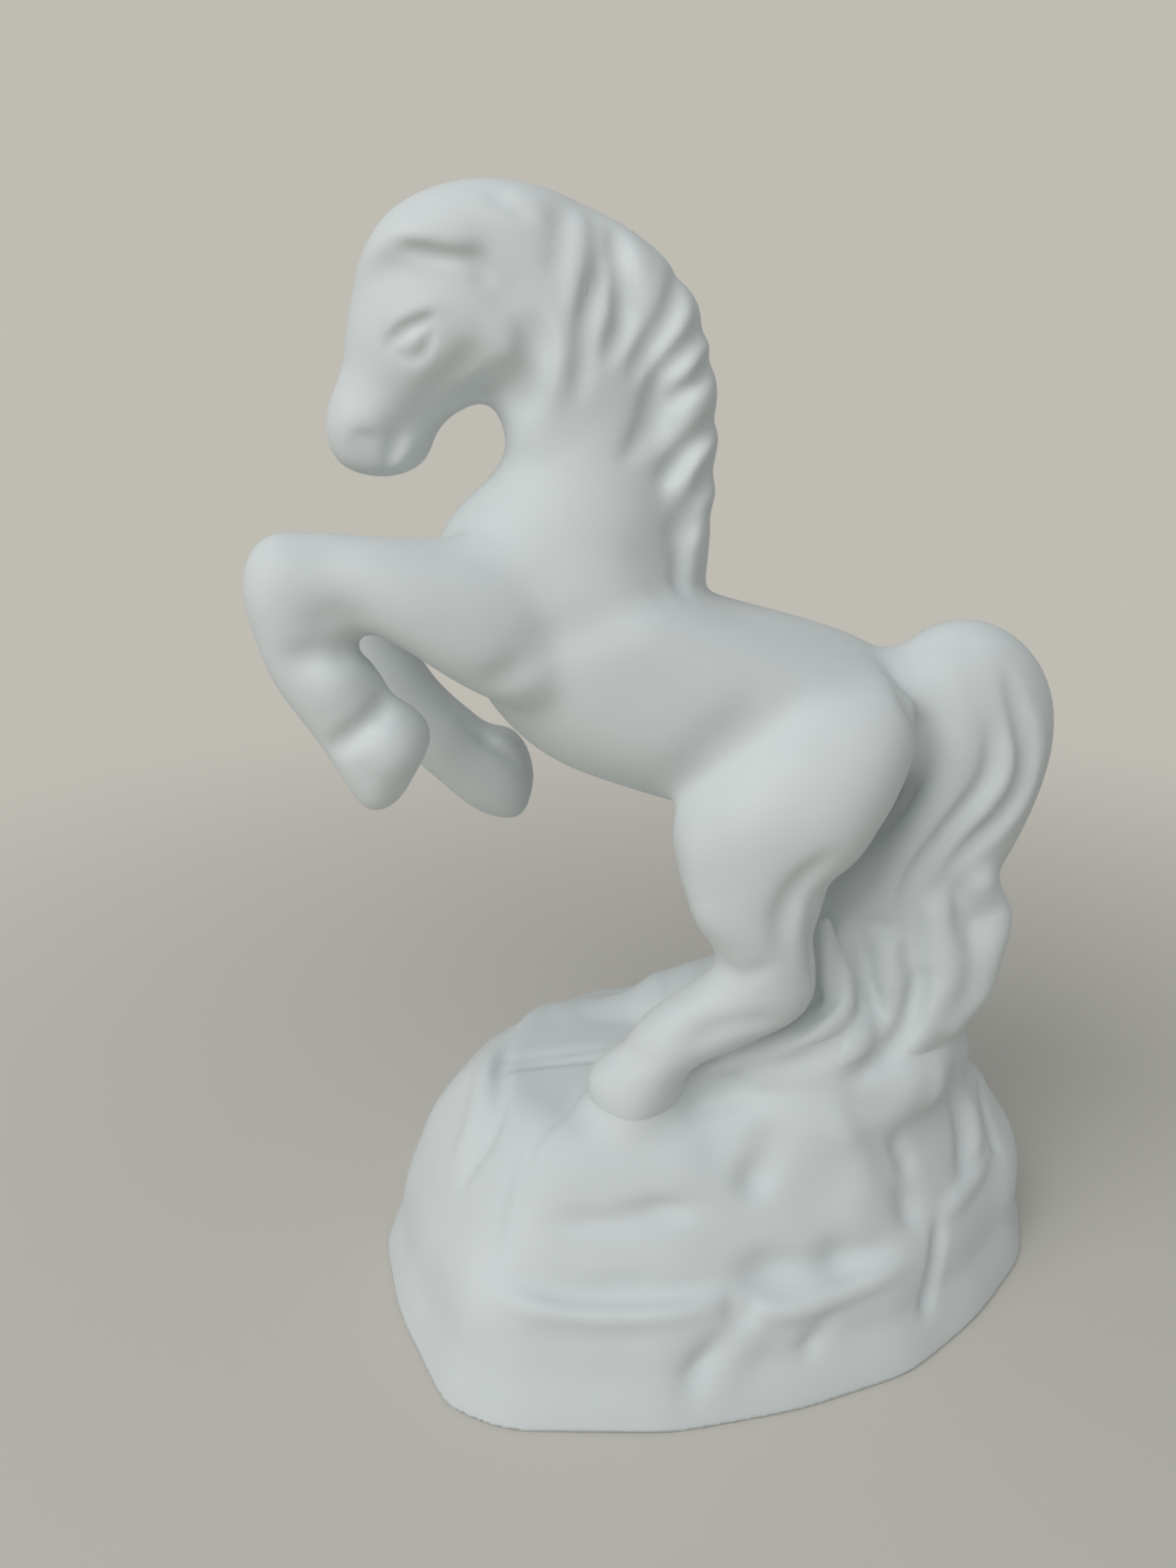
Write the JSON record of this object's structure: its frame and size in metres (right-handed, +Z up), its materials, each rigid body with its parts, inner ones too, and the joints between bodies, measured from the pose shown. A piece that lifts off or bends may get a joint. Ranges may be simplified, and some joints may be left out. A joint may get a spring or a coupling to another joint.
{
  "type": "rearing horse figurine",
  "caption": "White bisque porcelain figurine of a rearing horse with a flowing mane and tail, standing on a craggy rock base.",
  "frame": {"origin": "middle of the rock base's flat underside, where the figurine stands", "axes": "+Z up; the horse faces -X and its tail is at +X; its left side faces -Y"},
  "size_m": [0.1039, 0.0748, 0.1402],
  "materials": {
    "rock_base": "matte",
    "torso": "matte",
    "neck": "matte",
    "head": "matte",
    "forelock": "matte",
    "mane": "matte",
    "tail": "matte",
    "left_foreleg": "matte",
    "right_foreleg": "matte",
    "left_hind_leg": "matte",
    "right_hind_leg": "matte"
  },
  "bodies": {
    "root": {"rock_base": "rock_base", "torso": "torso", "neck": "neck", "head": "head", "forelock": "forelock", "mane": "mane", "tail": "tail", "left_foreleg": "left_foreleg", "right_foreleg": "right_foreleg", "left_hind_leg": "left_hind_leg", "right_hind_leg": "right_hind_leg"}
  },
  "joints": []
}
